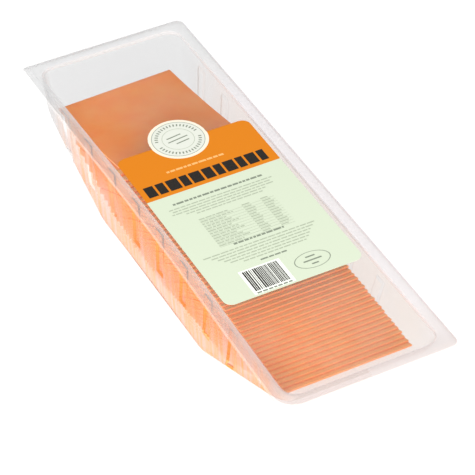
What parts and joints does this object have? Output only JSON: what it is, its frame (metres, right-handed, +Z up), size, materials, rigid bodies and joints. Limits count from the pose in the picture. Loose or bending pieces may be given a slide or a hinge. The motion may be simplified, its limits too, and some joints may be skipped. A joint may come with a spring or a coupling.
{
  "type": "pack of sliced cheese",
  "caption": "Long clear tray with ribbed sides and sloped ends, filled with a row of overlapping cheese slices and closed by a flat clear film with a paper label",
  "frame": {"origin": "middle of the underside, on the level that the tray's floor rests on", "axes": "+X across the pack, +Y along it towards the head of the label, +Z up"},
  "size_m": [0.117, 0.36, 0.0709],
  "materials": {
    "tray_plastic": "clear thermoformed sheet, glossy",
    "film_plastic": "clear sealed film, glossy",
    "label_paper": "semi-gloss printed paper",
    "cheese": "smooth, slightly oily cut cheese"
  },
  "bodies": {
    "root": {"tray": "tray_plastic", "lid_film": "film_plastic", "label": "label_paper", "slice_01": "cheese", "slice_02": "cheese", "slice_03": "cheese", "slice_04": "cheese", "slice_05": "cheese", "slice_06": "cheese", "slice_07": "cheese", "slice_08": "cheese", "slice_09": "cheese", "slice_10": "cheese", "slice_11": "cheese", "slice_12": "cheese", "slice_13": "cheese", "slice_14": "cheese", "slice_15": "cheese", "slice_16": "cheese", "slice_17": "cheese", "slice_18": "cheese", "slice_19": "cheese", "slice_20": "cheese", "slice_21": "cheese", "slice_22": "cheese", "slice_23": "cheese", "slice_24": "cheese", "slice_25": "cheese", "slice_26": "cheese", "slice_27": "cheese", "slice_28": "cheese", "slice_29": "cheese", "slice_30": "cheese", "slice_31": "cheese", "slice_32": "cheese", "slice_33": "cheese", "slice_34": "cheese", "slice_35": "cheese", "slice_36": "cheese", "slice_37": "cheese", "slice_38": "cheese", "slice_39": "cheese", "slice_40": "cheese", "slice_41": "cheese", "slice_42": "cheese", "slice_43": "cheese", "slice_44": "cheese", "slice_45": "cheese", "slice_46": "cheese", "slice_47": "cheese", "slice_48": "cheese", "slice_49": "cheese", "slice_50": "cheese", "slice_51": "cheese", "slice_52": "cheese", "slice_53": "cheese", "slice_54": "cheese"}
  },
  "joints": []
}
